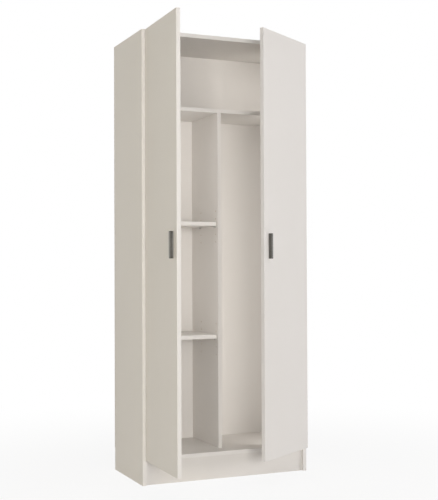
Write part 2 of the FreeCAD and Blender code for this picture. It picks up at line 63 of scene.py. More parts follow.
def addCamera(view):
    bpy.ops.object.camera_add()
    camera = bpy.context.object
    camera.name = "photoCamera"
    camera.data.sensor_fit = "AUTO"
    camera.data.sensor_width = view["sensor"]
    camera.data.lens = view["focalPixels"] * view["sensor"] / view["framePixels"]
    turn = Matrix.Rotation(math.radians(-view["turnRight"]), 4, "Z")
    tilt = Matrix.Rotation(math.radians(90 + view["tiltUp"]), 4, "X")
    roll = Matrix.Rotation(math.radians(-view["roll"]), 4, "Z")
    camera.matrix_world = Matrix.Translation(view["place"]) @ turn @ tilt @ roll
    bpy.context.scene.camera = camera


addCamera(cameraView)
bpy.context.scene.view_settings.view_transform = "Standard"
print("camera placed")


# Shader helpers
def newGroup(name, ins, outs):
    group = bpy.data.node_groups.new(name, "ShaderNodeTree")
    for label, kind in ins.items():
        group.interface.new_socket(name=label, in_out="INPUT", socket_type="NodeSocket" + kind)
    for label, kind in outs.items():
        group.interface.new_socket(name=label, in_out="OUTPUT", socket_type="NodeSocket" + kind)
    return group, group.nodes.new("NodeGroupInput"), group.nodes.new("NodeGroupOutput")


def newMath(tree, operation, *values):
    node = tree.nodes.new("ShaderNodeMath")
    node.operation = operation
    for socket, value in zip(node.inputs, values):
        if isinstance(value, (int, float)):
            socket.default_value = value
        else:
            tree.links.new(value, socket)
    return node.outputs["Value"]


def blendValues(tree, share, first, second):
    return newMath(tree, "ADD", newMath(tree, "MULTIPLY", first, 1 - share),
                   newMath(tree, "MULTIPLY", second, share))


def newVectorMath(tree, operation, *vectors):
    node = tree.nodes.new("ShaderNodeVectorMath")
    node.operation = operation
    for socket, vector in zip(node.inputs, vectors):
        tree.links.new(vector, socket)
    return node.outputs["Vector"]


def splitVector(tree, vector):
    node = tree.nodes.new("ShaderNodeSeparateXYZ")
    tree.links.new(vector, node.inputs["Vector"])
    return node.outputs["X"], node.outputs["Y"], node.outputs["Z"]


def newNoise(tree, vector, size, detail=2.0, roughness=0.5):
    # size is the width of one blotch in metres
    node = tree.nodes.new("ShaderNodeTexNoise")
    tree.links.new(vector, node.inputs["Vector"])
    node.inputs["Scale"].default_value = 1 / size
    node.inputs["Detail"].default_value = detail
    node.inputs["Roughness"].default_value = roughness
    return node.outputs["Fac"]


def newRange(tree, value, low, high, least=0.0):
    # rises smoothly from least to 1 while the value goes from low to high
    node = tree.nodes.new("ShaderNodeMapRange")
    node.interpolation_type = "SMOOTHSTEP"
    tree.links.new(value, node.inputs["Value"])
    node.inputs["From Min"].default_value = low
    node.inputs["From Max"].default_value = high
    node.inputs["To Min"].default_value = least
    return node.outputs["Result"]


def mixColors(tree, share, first, second):
    node = tree.nodes.new("ShaderNodeMix")
    node.data_type = "RGBA"
    tree.links.new(share, node.inputs["Factor"])
    for socket, color in ((node.inputs[6], first), (node.inputs[7], second)):
        if isinstance(color, tuple):
            socket.default_value = (*color, 1)
        else:
            tree.links.new(color, socket)
    return node.outputs[2]


def placeGroup(tree, group, values):
    node = tree.nodes.new("ShaderNodeGroup")
    node.node_tree = group
    for label, value in values.items():
        if isinstance(value, (float, tuple, Vector)):
            node.inputs[label].default_value = value
        else:
            tree.links.new(value, node.inputs[label])
    return node


def newBump(tree, height, distance):
    node = tree.nodes.new("ShaderNodeBump")
    node.inputs["Distance"].default_value = distance
    tree.links.new(height, node.inputs["Height"])
    return node.outputs["Normal"]


def seenDirectly(tree):
    # 1 where the camera, a mirror or glass looks at the surface, 0 where light is thrown on from it
    rays = tree.nodes.new("ShaderNodeLightPath")
    mirrored = newMath(tree, "MAXIMUM", rays.outputs["Is Glossy Ray"], rays.outputs["Is Transmission Ray"])
    return newMath(tree, "MAXIMUM", rays.outputs["Is Camera Ray"], mirrored)


def mixShaders(tree, share, first, second):
    node = tree.nodes.new("ShaderNodeMixShader")
    tree.links.new(share, node.inputs["Fac"])
    tree.links.new(first, node.inputs[1])
    tree.links.new(second, node.inputs[2])
    return node.outputs["Shader"]


def newMaterial(name, centre=(0, 0, 0), turn=0.0):
    # returns the material, its tree, its shader and the place on the piece, measured from the centre
    material = bpy.data.materials.new(name)
    material.use_nodes = True
    tree = material.node_tree
    where = tree.nodes.new("ShaderNodeTexCoord")
    mapping = tree.nodes.new("ShaderNodeMapping")
    mapping.vector_type = "TEXTURE"
    mapping.inputs["Location"].default_value = centre
    mapping.inputs["Rotation"].default_value = (0, 0, turn)
    tree.links.new(where.outputs["Object"], mapping.inputs["Vector"])
    return material, tree, tree.nodes["Principled BSDF"], mapping.outputs["Vector"]


# Soft studio lamps: square panels that look at the cabinet's middle
lampAim = Vector((0, 0.05, 0.9))
lamps = {
    "rightKey": {"place": (4.87, -2.99, 1.4), "size": 1.4, "watts": 89, "color": (0.96, 0.96, 1)},
    "frontSoft": {"place": (-1.3, -5.55, 1.0), "size": 1.4, "watts": 116, "color": (1, 0.98, 0.95)},
    "leftFill": {"place": (-5.55, -1.44, 1.5), "size": 1.4, "watts": 64, "color": (1, 0.91, 0.68)},
    "overhead": {"place": (0, -0.9, 4.6), "size": 2.6, "watts": 42, "color": (1, 0.99, 0.98)},
    "behind": {"place": (0.6, 4.6, 1.8), "size": 2.6, "watts": 60, "color": (1, 1, 1)},
}
# One faint lamp fills each bay from the plane of its front edge, over shares of its width, left to right
bayLamps = {
    "top_bay": {"watts": 0.16, "from": 0.85, "to": 1, "spread": 120},
    "upper_left_bay": {"watts": 0.16, "from": 0, "to": 1, "spread": 180},
    "middle_left_bay": {"watts": 0.15, "from": 0, "to": 1, "spread": 180},
    "lower_left_bay": {"watts": 0.06, "from": 0, "to": 1, "spread": 180},
    "tall_bay": {"watts": 0.75, "from": 0.45, "to": 1, "spread": 180},
}
bayLampColor = (1, 0.98, 0.95)
surroundings = {"lightLevel": 0.18, "lightColor": (1, 0.97, 0.94), "backdropColor": (1, 1, 1)}


def addLamp(name, lamp):
    bpy.ops.object.light_add(type="AREA", location=lamp["place"])
    light = bpy.context.object
    light.name = name
    light.data.shape = "SQUARE"
    light.data.size = lamp["size"]
    light.data.energy = lamp["watts"]
    light.data.color = lamp["color"]
    light.rotation_euler = (Vector(lamp["place"]) - lampAim).to_track_quat("Z", "Y").to_euler()
    light.visible_camera = False


def addBayLamp(opening, lamp, color):
    low, high = (Vector(corner) for corner in opening["box_m"])
    start, end = (low.x + lamp[limit] * (high.x - low.x) for limit in ("from", "to"))
    bpy.ops.object.light_add(type="AREA", location=((start + end) / 2, low.y, (low.z + high.z) / 2))
    light = bpy.context.object
    light.name = "bayLamp_" + opening["name"]
    light.data.shape = "RECTANGLE"
    light.data.size = end - start
    light.data.size_y = high.z - low.z
    light.data.energy = lamp["watts"]
    light.data.spread = math.radians(lamp["spread"])
    light.data.color = color
    light.rotation_euler = (math.radians(90), 0, 0)
    light.visible_camera = False
    light.visible_glossy = False


def addSurroundings(values):
    # the lamps' soft surroundings, shown as plain white where a straight or mirrored look reaches them
    world = bpy.data.worlds.new("studio")
    bpy.context.scene.world = world
    world.use_nodes = True
    tree = world.node_tree
    tree.nodes.clear()
    soft = tree.nodes.new("ShaderNodeBackground")
    soft.inputs["Color"].default_value = (*values["lightColor"], 1)
    soft.inputs["Strength"].default_value = values["lightLevel"]
    backdrop = tree.nodes.new("ShaderNodeBackground")
    backdrop.inputs["Color"].default_value = (*values["backdropColor"], 1)
    shown = mixShaders(tree, seenDirectly(tree), soft.outputs["Background"], backdrop.outputs["Background"])
    output = tree.nodes.new("ShaderNodeOutputWorld")
    tree.links.new(shown, output.inputs["Surface"])


for lampName, lampValues in lamps.items():
    addLamp(lampName, lampValues)
for opening in frame["record"]["physics"]["openings"]:
    if opening["name"] in bayLamps:
        addBayLamp(opening, bayLamps[opening["name"]], bayLampColor)
addSurroundings(surroundings)
print("lamps placed:", len(lamps) + len(bayLamps))

# A pale floor that fades into the white backdrop and keeps the shadow at the cabinet's foot
floorValues = {
    "size": 30.0,
    "color": (0.86, 0.855, 0.85),
    "roughness": 0.8,
    "specular": 0.1,
    "whiteNear": 0.88,       # share of plain white seen close to the cabinet
    "whiteFrom": 0.5,        # metres from the origin
    "whiteTo": 2.4,
}


def addFloor(values):
    bpy.ops.object.select_all(action="DESELECT")
    bpy.ops.mesh.primitive_plane_add(size=values["size"])
    floor = bpy.context.object
    floor.name = "studioFloor"
    material, tree, shader, place = newMaterial("paleFloor")
    shader.inputs["Base Color"].default_value = (*values["color"], 1)
    shader.inputs["Roughness"].default_value = values["roughness"]
    shader.inputs["Specular IOR Level"].default_value = values["specular"]
    distance = tree.nodes.new("ShaderNodeVectorMath")
    distance.operation = "LENGTH"
    tree.links.new(place, distance.inputs[0])
    fade = newRange(tree, distance.outputs["Value"], values["whiteFrom"], values["whiteTo"],
                    values["whiteNear"])
    seen = newMath(tree, "MULTIPLY", seenDirectly(tree), fade)
    white = tree.nodes.new("ShaderNodeEmission")
    shown = mixShaders(tree, seen, shader.outputs["BSDF"], white.outputs["Emission"])
    tree.links.new(shown, tree.nodes["Material Output"].inputs["Surface"])
    floor.data.materials.append(material)


addFloor(floorValues)
print("floor laid")

# Board edges: which places on a board are bare core, edge band, or the line between band and face
edgeValues = {
    "skin": 0.35 * millimetre,       # a place deeper than this is inside a drilled hole
    "bandThickness": 1.0 * millimetre,
    "lineHalfWidth": 0.08 * millimetre,
}


def makeBoardEdges(values):
    group, given, made = newGroup(
        "boardEdges",
        {"Place": "Vector", "Half": "Vector", "Unbanded": "Vector",
         "Raw Back": "Float", "Raw Foot": "Float"},
        {"Core": "Float", "Band": "Float", "Line": "Float"},
    )
    places = splitVector(group, given.outputs["Place"])
    fromFace = newVectorMath(group, "SUBTRACT", given.outputs["Half"],
                             newVectorMath(group, "ABSOLUTE", given.outputs["Place"]))
    deepX, deepY, deepZ = splitVector(group, fromFace)
    least = newMath(group, "MINIMUM", newMath(group, "MINIMUM", deepX, deepY), deepZ)
    inside = newMath(group, "GREATER_THAN", least, values["skin"])
    back = newMath(group, "MULTIPLY", newMath(group, "LESS_THAN", deepY, values["skin"]),
                   newMath(group, "GREATER_THAN", places[1], 0.0))
    foot = newMath(group, "MULTIPLY", newMath(group, "LESS_THAN", deepZ, values["skin"]),
                   newMath(group, "LESS_THAN", places[2], 0.0))
    rawBack = newMath(group, "MULTIPLY", back, given.outputs["Raw Back"])
    rawFoot = newMath(group, "MULTIPLY", foot, given.outputs["Raw Foot"])
    core = newMath(group, "MAXIMUM", inside, newMath(group, "MAXIMUM", rawBack, rawFoot))
    fromEdge = newVectorMath(group, "ADD", fromFace, given.outputs["Unbanded"])
    edgeX, edgeY, edgeZ = splitVector(group, fromEdge)
    nearest = newMath(group, "MINIMUM", newMath(group, "MINIMUM", edgeX, edgeY), edgeZ)
    group.links.new(core, made.inputs["Core"])
    group.links.new(newMath(group, "LESS_THAN", nearest, values["bandThickness"]), made.inputs["Band"])
    line = newMath(group, "COMPARE", nearest, values["bandThickness"], values["lineHalfWidth"])
    group.links.new(line, made.inputs["Line"])
    return group


# The pearl-textured white face of the boards
faceValues = {
    "pearl": 1.6 * millimetre,
    "grit": 0.45 * millimetre,
    "gritShare": 0.3,
    "cloud": 350 * millimetre,
    "smudge": 60 * millimetre,
    "smudgeFrom": 0.45,
    "smudgeTo": 0.75,
}


def makeMelamineFace(values):
    group, given, made = newGroup(
        "melamineFace", {"Place": "Vector"}, {"Height": "Float", "Cloud": "Float", "Smudge": "Float"})
    place = given.outputs["Place"]
    pearl = newNoise(group, place, values["pearl"], detail=1.0)
    grit = newNoise(group, place, values["grit"], detail=1.0)
    group.links.new(blendValues(group, values["gritShare"], pearl, grit), made.inputs["Height"])
    group.links.new(newNoise(group, place, values["cloud"]), made.inputs["Cloud"])
    blotches = newNoise(group, place, values["smudge"], detail=4.0, roughness=0.6)
    smudge = newRange(group, blotches, values["smudgeFrom"], values["smudgeTo"])
    group.links.new(smudge, made.inputs["Smudge"])
    return group


# Pressed wood chips, where a board is cut or drilled
chipValues = {
    "chip": 2.6 * millimetre,
    "fibre": 0.7 * millimetre,
    "fibreShare": 0.45,
    "lightFrom": 0.2,
    "lightTo": 0.75,
    "dark": (0.24, 0.155, 0.085),
    "light": (0.60, 0.45, 0.28),
}


def makeChipCore(values):
    group, given, made = newGroup("chipCore", {"Place": "Vector"}, {"Color": "Color", "Height": "Float"})
    chips = group.nodes.new("ShaderNodeTexVoronoi")
    chips.inputs["Scale"].default_value = 1 / values["chip"]
    group.links.new(given.outputs["Place"], chips.inputs["Vector"])
    tone = group.nodes.new("ShaderNodeRGBToBW")
    group.links.new(chips.outputs["Color"], tone.inputs["Color"])
    fibre = newNoise(group, given.outputs["Place"], values["fibre"], detail=3.0, roughness=0.7)
    blend = blendValues(group, values["fibreShare"], tone.outputs["Val"], fibre)
    lightness = newRange(group, blend, values["lightFrom"], values["lightTo"])
    group.links.new(mixColors(group, lightness, values["dark"], values["light"]), made.inputs["Color"])
    group.links.new(newMath(group, "SUBTRACT", fibre, chips.outputs["Distance"]), made.inputs["Height"])
    return group


# Fine lines from rolling, brushing or growth, drawn out along one direction
patchSize = 8 * millimetre


def makeDrawnLines():
    group, given, made = newGroup(
        "drawnLines", {"Place": "Vector", "Stretch": "Vector"}, {"Lines": "Float", "Patches": "Float"})
    stretched = newVectorMath(group, "MULTIPLY", given.outputs["Place"], given.outputs["Stretch"])
    group.links.new(newNoise(group, stretched, 1.0, detail=3.0, roughness=0.6), made.inputs["Lines"])
    group.links.new(newNoise(group, given.outputs["Place"], patchSize), made.inputs["Patches"])
    return group


boardEdges = makeBoardEdges(edgeValues)
melamineFace = makeMelamineFace(faceValues)
chipCore = makeChipCore(chipValues)
drawnLines = makeDrawnLines()
print("shader groups made")

# White faced boards
boardFinish = {
    "face": (0.800, 0.772, 0.742),
    "faceSoiled": (0.770, 0.742, 0.705),
    # the band colour is a little lighter than the face: partly the edging's own whiter tone, partly painted
    # light that brightens the board edges
    "bandWithPaintedLight": (0.825, 0.800, 0.770),
    "line": (0.50, 0.46, 0.41),
    "faceRoughness": 0.44,
    "smudgeRoughness": 0.05,     # added where a smudge lies
    "bandRoughness": 0.36,
    "coreRoughness": 0.9,
    "pearlDepth": 0.05 * millimetre,
    "chipDepth": 0.4 * millimetre,
}


def makeBoardMaterial(name, centre, half, finish, banded, turn=0.0, rawBack=0.0, rawFoot=0.0):
    material, tree, shader, place = newMaterial(name, centre, turn)
    unbanded = tuple(1.0 - flag for flag in banded)    # puts an end without a band a metre out of reach
    edges = placeGroup(tree, boardEdges, {"Place": place, "Half": half, "Unbanded": unbanded,
                                          "Raw Back": rawBack, "Raw Foot": rawFoot})
    face = placeGroup(tree, melamineFace, {"Place": place})
    chips = placeGroup(tree, chipCore, {"Place": place})
    clean = mixColors(tree, face.outputs["Cloud"], finish["face"], finish["faceSoiled"])
    # the lighter band colour laid on here is partly painted light on the board edges
    bandedWithPaintedLight = mixColors(tree, edges.outputs["Band"], clean, finish["bandWithPaintedLight"])
    lined = mixColors(tree, edges.outputs["Line"], bandedWithPaintedLight, finish["line"])
    color = mixColors(tree, edges.outputs["Core"], lined, chips.outputs["Color"])
    tree.links.new(color, shader.inputs["Base Color"])
    sheen = newMath(tree, "MULTIPLY_ADD", face.outputs["Smudge"], finish["smudgeRoughness"],
                    finish["faceRoughness"])
    drop = finish["bandRoughness"] - finish["faceRoughness"]
    bandSheen = newMath(tree, "MULTIPLY_ADD", edges.outputs["Band"], drop, sheen)
    rough = newMath(tree, "MAXIMUM", bandSheen,
                    newMath(tree, "MULTIPLY", edges.outputs["Core"], finish["coreRoughness"]))
    tree.links.new(rough, shader.inputs["Roughness"])
    smooth = newMath(tree, "MULTIPLY", face.outputs["Height"],
                     newMath(tree, "SUBTRACT", 1.0, edges.outputs["Band"]))
    coarseness = finish["chipDepth"] / finish["pearlDepth"]
    coarse = newMath(tree, "MULTIPLY", chips.outputs["Height"],
                     newMath(tree, "MULTIPLY", edges.outputs["Core"], coarseness))
    tree.links.new(newBump(tree, newMath(tree, "ADD", smooth, coarse), finish["pearlDepth"]),
                   shader.inputs["Normal"])
    return material


def middleOf(corners):
    low = Vector(min(corner[axis] for corner in corners) for axis in range(3))
    high = Vector(max(corner[axis] for corner in corners) for axis in range(3))
    return (low + high) / 2


def dress(node, material):
    mesh = frame["nodes"][node].data
    mesh.materials.clear()
    mesh.materials.append(material)


# banded marks the axes (X, Y, Z) at whose ends a board has its edge band
shelfBanded, plinthBanded, sideBanded, doorBanded = (0, 1, 0), (0, 0, 1), (0, 1, 1), (1, 0, 1)
plainBoards = {
    "left_side_panel": {"banded": sideBanded, "rawBack": 1.0, "rawFoot": 1.0},
    "right_side_panel": {"banded": sideBanded, "rawBack": 1.0, "rawFoot": 1.0},
    "top_panel": {"banded": shelfBanded, "rawBack": 1.0},
    "bottom_panel": {"banded": shelfBanded, "rawBack": 1.0},
    "fixed_shelf": {"banded": shelfBanded, "rawBack": 1.0},
    "divider": {"banded": shelfBanded, "rawBack": 1.0},
    "plinth": {"banded": plinthBanded, "rawFoot": 1.0},
    "lower_loose_shelf": {"banded": shelfBanded, "rawBack": 1.0},
    "upper_loose_shelf": {"banded": shelfBanded, "rawBack": 1.0},
}
doorTurns = {"left": math.radians(-91.2), "right": math.radians(34.1)}    # how the doors stand at rest


def findBox(node, turn=0.0):
    # the middle and the half size of a board that stands turned about the upright axis
    back = Matrix.Rotation(-turn, 3, "Z")
    corners = [back @ vertex.co for vertex in frame["nodes"][node].data.vertices]
    middle = middleOf(corners)
    half = Vector(max(corner[axis] for corner in corners) for axis in range(3)) - middle
    return back.inverted() @ middle, half


for board, options in plainBoards.items():
    dress(board, makeBoardMaterial(board + "Face", *findBox(board), boardFinish, **options))
for side, turn in doorTurns.items():
    board = side + "_door"
    dress(board, makeBoardMaterial(board + "Face", *findBox(board, turn), boardFinish, doorBanded, turn))
print("boards dressed:", len(plainBoards) + len(doorTurns))

# Thin back sheet: white inside, bare pressed fibre behind with the print of the press screen
sheetFinish = {
    "face": (0.800, 0.772, 0.742),
    "faceSoiled": (0.775, 0.745, 0.71),
    "fibreDark": (0.20, 0.115, 0.055),
    "fibreLight": (0.36, 0.23, 0.12),
    "fleck": 1.5 * millimetre,
    "lightFrom": 0.35,
    "lightTo": 0.68,
    "fleckRelief": 0.8,      # share of the screen print's relief
    "screen": 1.4 * millimetre,
    "screenDepth": 0.15 * millimetre,
    "faceRoughness": 0.5,
    "fibreRoughness": 0.85,
    "faceSkin": 0.4 * millimetre,
}


def makeSheetMaterial(finish):
    low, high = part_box("back_panel")
    material, tree, shader, place = newMaterial("backSheet", (low + high) / 2)
    across, depth, upward = splitVector(tree, place)
    bare = newMath(tree, "GREATER_THAN", depth, finish["faceSkin"] - (high.y - low.y) / 2)
    face = placeGroup(tree, melamineFace, {"Place": place})
    painted = mixColors(tree, face.outputs["Cloud"], finish["face"], finish["faceSoiled"])
    flecks = newNoise(tree, place, finish["fleck"], detail=4.0, roughness=0.7)
    lightness = newRange(tree, flecks, finish["lightFrom"], finish["lightTo"])
    fibre = mixColors(tree, lightness, finish["fibreDark"], finish["fibreLight"])
    tree.links.new(mixColors(tree, bare, painted, fibre), shader.inputs["Base Color"])
    rise = finish["fibreRoughness"] - finish["faceRoughness"]
    rough = newMath(tree, "MULTIPLY_ADD", bare, rise, finish["faceRoughness"])
    tree.links.new(rough, shader.inputs["Roughness"])
    wave = math.tau / finish["screen"]
    waves = [newMath(tree, "SINE", newMath(tree, "MULTIPLY", along, wave)) for along in (across, upward)]
    screen = newMath(tree, "MULTIPLY", waves[0], waves[1])
    relief = newMath(tree, "MULTIPLY_ADD", flecks, finish["fleckRelief"], screen)
    pressed = newMath(tree, "MULTIPLY", relief, bare)
    tree.links.new(newBump(tree, pressed, finish["screenDepth"]), shader.inputs["Normal"])
    return material


dress("back_panel", makeSheetMaterial(sheetFinish))
print("back sheet dressed")

# Metals: color is the clean metal, worn the duller patches, spread the roughness added along the drawn
# lines, and stretch how many lines run per metre along each axis
metalFinishes = {
    "handleMetal": {"color": (0.158, 0.155, 0.144), "worn": (0.107, 0.104, 0.096), "roughness": 0.32,
                    "spread": 0.14, "stretch": (1800, 1800, 45), "lineDepth": 0.03 * millimetre},
    "hingeNickel": {"color": (0.66, 0.645, 0.61), "worn": (0.52, 0.505, 0.475), "roughness": 0.24,
                    "spread": 0.16, "stretch": (260, 260, 900), "lineDepth": 0.01 * millimetre},
    "pinSteel": {"color": (0.56, 0.555, 0.54), "worn": (0.42, 0.41, 0.40), "roughness": 0.22,
                 "spread": 0.12, "stretch": (900, 900, 2600), "lineDepth": 0.01 * millimetre},
    "screwZinc": {"color": (0.68, 0.68, 0.69), "worn": (0.50, 0.49, 0.46), "roughness": 0.28,
                  "spread": 0.2, "stretch": (700, 700, 700), "lineDepth": 0.01 * millimetre},
    "supportNickel": {"color": (0.64, 0.63, 0.60), "worn": (0.50, 0.49, 0.47), "roughness": 0.25,
                      "spread": 0.15, "stretch": (900, 400, 900), "lineDepth": 0.01 * millimetre},
    "camZinc": {"color": (0.50, 0.50, 0.50), "worn": (0.36, 0.36, 0.355), "roughness": 0.46,
                "spread": 0.15, "stretch": (1500, 1500, 1500), "lineDepth": 0.04 * millimetre},
    "nailSteel": {"color": (0.48, 0.48, 0.48), "worn": (0.30, 0.29, 0.28), "roughness": 0.3,
                  "spread": 0.2, "stretch": (900, 300, 900), "lineDepth": 0.01 * millimetre},
}
metalWear = {"patchFrom": 0.35, "patchTo": 0.75, "patchShare": 0.5}


def makeMetalMaterial(name, finish, wear):
    material, tree, shader, place = newMaterial(name)
    drawn = placeGroup(tree, drawnLines, {"Place": place, "Stretch": finish["stretch"]})
    patches = newRange(tree, drawn.outputs["Patches"], wear["patchFrom"], wear["patchTo"])
    shade = blendValues(tree, wear["patchShare"], drawn.outputs["Lines"], patches)
    tree.links.new(mixColors(tree, shade, finish["color"], finish["worn"]), shader.inputs["Base Color"])
    rough = newMath(tree, "MULTIPLY_ADD", drawn.outputs["Lines"], finish["spread"], finish["roughness"])
    tree.links.new(rough, shader.inputs["Roughness"])
    shader.inputs["Metallic"].default_value = 1.0
    tree.links.new(newBump(tree, drawn.outputs["Lines"], finish["lineDepth"]), shader.inputs["Normal"])
    return material


metals = {name: makeMetalMaterial(name, finish, metalWear) for name, finish in metalFinishes.items()}

# Beech dowels, grain along their length
beechFinish = {"light": (0.62, 0.43, 0.25), "dark": (0.40, 0.25, 0.13), "darkFrom": 0.35, "darkTo": 0.7,
               "roughness": 0.62, "spread": 0.2, "stretch": (90, 1400, 1400),
               "grainDepth": 0.1 * millimetre}


def makeBeechMaterial(finish):
    material, tree, shader, place = newMaterial("dowelBeech")
    grain = placeGroup(tree, drawnLines, {"Place": place, "Stretch": finish["stretch"]})
    darkness = newRange(tree, grain.outputs["Lines"], finish["darkFrom"], finish["darkTo"])
    tree.links.new(mixColors(tree, darkness, finish["light"], finish["dark"]), shader.inputs["Base Color"])
    rough = newMath(tree, "MULTIPLY_ADD", grain.outputs["Lines"], finish["spread"], finish["roughness"])
    tree.links.new(rough, shader.inputs["Roughness"])
    tree.links.new(newBump(tree, grain.outputs["Lines"], finish["grainDepth"]), shader.inputs["Normal"])
    return material


# White powder coat of the wall brackets
coatFinish = {"color": (0.76, 0.75, 0.73), "soiled": (0.70, 0.69, 0.66), "roughness": 0.38, "spread": 0.1,
              "peelDepth": 0.09 * millimetre}


def makeCoatMaterial(finish):
    material, tree, shader, place = newMaterial("bracketCoat")
    face = placeGroup(tree, melamineFace, {"Place": place})
    tree.links.new(mixColors(tree, face.outputs["Smudge"], finish["color"], finish["soiled"]),
                   shader.inputs["Base Color"])
    rough = newMath(tree, "MULTIPLY_ADD", face.outputs["Cloud"], finish["spread"], finish["roughness"])
    tree.links.new(rough, shader.inputs["Roughness"])
    tree.links.new(newBump(tree, face.outputs["Height"], finish["peelDepth"]), shader.inputs["Normal"])
    return material


beech = makeBeechMaterial(beechFinish)
powderCoat = makeCoatMaterial(coatFinish)
print("metals, beech and powder coat mixed")

# Tools for modelling new pieces
meshValues = {
    "weld": 0.001 * millimetre,
    "smoothAngle": 35,       # degrees: flatter edges are shaded smooth
    "flatAngle": 1,          # flatter edges are dissolved before rounding
    "roundAngle": 40,        # sharper edges are rounded over
    "roundSegments": 3,
    "threadSteps": 10,
}


def deselectAll():
    if bpy.context.object and bpy.context.object.mode != "OBJECT":
        bpy.ops.object.mode_set(mode="OBJECT")
    bpy.ops.object.select_all(action="DESELECT")


def makeActive(piece):
    deselectAll()
    piece.select_set(True)
    bpy.context.view_layer.objects.active = piece


def applyModifier(piece, kind, **settings):
    makeActive(piece)
    modifier = piece.modifiers.new(kind, kind)
    for setting, value in settings.items():
        setattr(modifier, setting, value)
    bpy.ops.object.modifier_apply(modifier=modifier.name)


def finishMesh(piece):
    makeActive(piece)
    bpy.ops.object.mode_set(mode="EDIT")
    bpy.ops.mesh.select_all(action="SELECT")
    bpy.ops.mesh.remove_doubles(threshold=meshValues["weld"])
    bpy.ops.mesh.normals_make_consistent(inside=False)
    bpy.ops.object.mode_set(mode="OBJECT")
    bpy.ops.object.shade_smooth_by_angle(angle=math.radians(meshValues["smoothAngle"]))


def turnOutline(name, outline, steps):
    # spins an outline of (radius, height) points, from the top's middle to the foot's middle, about Z
    deselectAll()
    bpy.ops.mesh.primitive_plane_add(size=millimetre)
    piece = bpy.context.object
    piece.name = name
    bpy.ops.object.mode_set(mode="EDIT")
    bpy.ops.mesh.merge(type="CENTER")
    here = Vector((0, 0, 0))
    for count, (radius, height) in enumerate(outline):
        there = Vector((radius, 0, height)) * millimetre
        if count == 0:
            bpy.ops.transform.translate(value=there)
        else:
            bpy.ops.mesh.extrude_vertices_move(TRANSFORM_OT_translate={"value": there - here})
        here = there
    bpy.ops.mesh.select_all(action="SELECT")
    bpy.ops.mesh.spin(steps=steps, angle=math.tau, center=(0, 0, 0), axis=(0, 0, 1))
    bpy.ops.object.mode_set(mode="OBJECT")
    finishMesh(piece)
    return piece


def windThread(piece, radius, depth, pitch, start, turns):
    # a sharp ridge wound down a shank, closed at both ends and joined to the piece
    deselectAll()
    place = Vector((radius - depth, 0, start)) * millimetre
    bpy.ops.mesh.primitive_circle_add(vertices=4, radius=depth * millimetre, location=place,
                                      rotation=(math.radians(90), 0, 0))
    ridge = bpy.context.object
    bpy.ops.object.transform_apply(location=True, rotation=True, scale=True)
    applyModifier(ridge, "SCREW", axis="Z", screw_offset=-pitch * millimetre, iterations=turns,
                  steps=meshValues["threadSteps"], render_steps=meshValues["threadSteps"])
    bpy.ops.object.mode_set(mode="EDIT")
    bpy.ops.mesh.select_all(action="DESELECT")
    bpy.ops.mesh.select_mode(type="EDGE")
    bpy.ops.mesh.select_non_manifold()
    bpy.ops.mesh.fill_holes(sides=4)
    bpy.ops.mesh.select_mode(type="VERT")
    bpy.ops.object.mode_set(mode="OBJECT")
    finishMesh(ridge)
    ridge.select_set(True)
    piece.select_set(True)
    bpy.context.view_layer.objects.active = piece
    bpy.ops.object.join()


def cutAway(piece, cutter):
    applyModifier(piece, "BOOLEAN", operation="DIFFERENCE", solver="EXACT", object=cutter)
    bpy.data.objects.remove(cutter)


def cutBar(piece, top, length, width, depth, turn, taper):
    # one tapered slot, sunk into the piece from the height top
    deselectAll()
    bpy.ops.mesh.primitive_cube_add(size=1, location=(0, 0, top * millimetre),
                                    scale=(length * millimetre, width * millimetre, 2 * depth * millimetre))
    bar = bpy.context.object
    bpy.ops.object.transform_apply(location=True, rotation=True, scale=True)
    for vertex in bar.data.vertices:
        vertex.select = vertex.co.z < top * millimetre
    bpy.ops.object.mode_set(mode="EDIT")
    bpy.ops.transform.resize(value=(taper, taper, 1), center_override=(0, 0, 0))
    bpy.ops.object.mode_set(mode="OBJECT")
    bar.data.transform(Matrix.Rotation(math.radians(turn), 4, "Z"))
    cutAway(piece, bar)


def readSolids(node):
    # the corner points of each separate solid in a CAD node
    mesh = bmesh.new()
    mesh.from_mesh(frame["nodes"][node].data)
    bmesh.ops.remove_doubles(mesh, verts=mesh.verts, dist=meshValues["weld"])
    waiting = set(mesh.verts)
    solids = []
    while waiting:
        front = [waiting.pop()]
        corners = []
        while front:
            vertex = front.pop()
            corners.append(vertex.co.copy())
            for edge in vertex.link_edges:
                other = edge.other_vert(vertex)
                if other in waiting:
                    waiting.remove(other)
                    front.append(other)
        solids.append(corners)
    mesh.free()
    return sorted(solids, key=lambda corners: tuple(round(value, 4) for value in middleOf(corners)))


def findSpots(node, outward, ahead=None):
    # A model has its outer end at the origin and points outwards along Z. For each solid of a CAD node, this
    # finds the move that takes a model to the solid's outer end, with the model's X axis turned to ahead.
    spots = []
    for corners in readSolids(node):
        middle = middleOf(corners)
        zAxis = outward(middle) if callable(outward) else outward
        xAxis = ahead(middle) if callable(ahead) else ahead or zAxis.orthogonal().normalized()
        yAxis = zAxis.cross(xAxis)
        place = Vector((0, 0, 0))
        for axis in (xAxis, yAxis):
            reach = [corner.dot(axis) for corner in corners]
            place += axis * (min(reach) + max(reach)) / 2
        place += zAxis * max(corner.dot(zAxis) for corner in corners)
        turn = Matrix((xAxis, yAxis, zAxis)).transposed().to_4x4()
        spots.append(Matrix.Translation(place) @ turn)
    return spots


bodyOf = {node: body for body, nodes in frame["record"]["behaviour"]["bodies"].items() for node in nodes}


def standFor(piece, name, node, material):
    # names and finishes a piece, and lets it take the place of a CAD node
    piece.name = name
    piece.data.name = name
    piece.data.materials.clear()
    piece.data.materials.append(material)
    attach(piece, bodyOf[node])
    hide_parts(node)


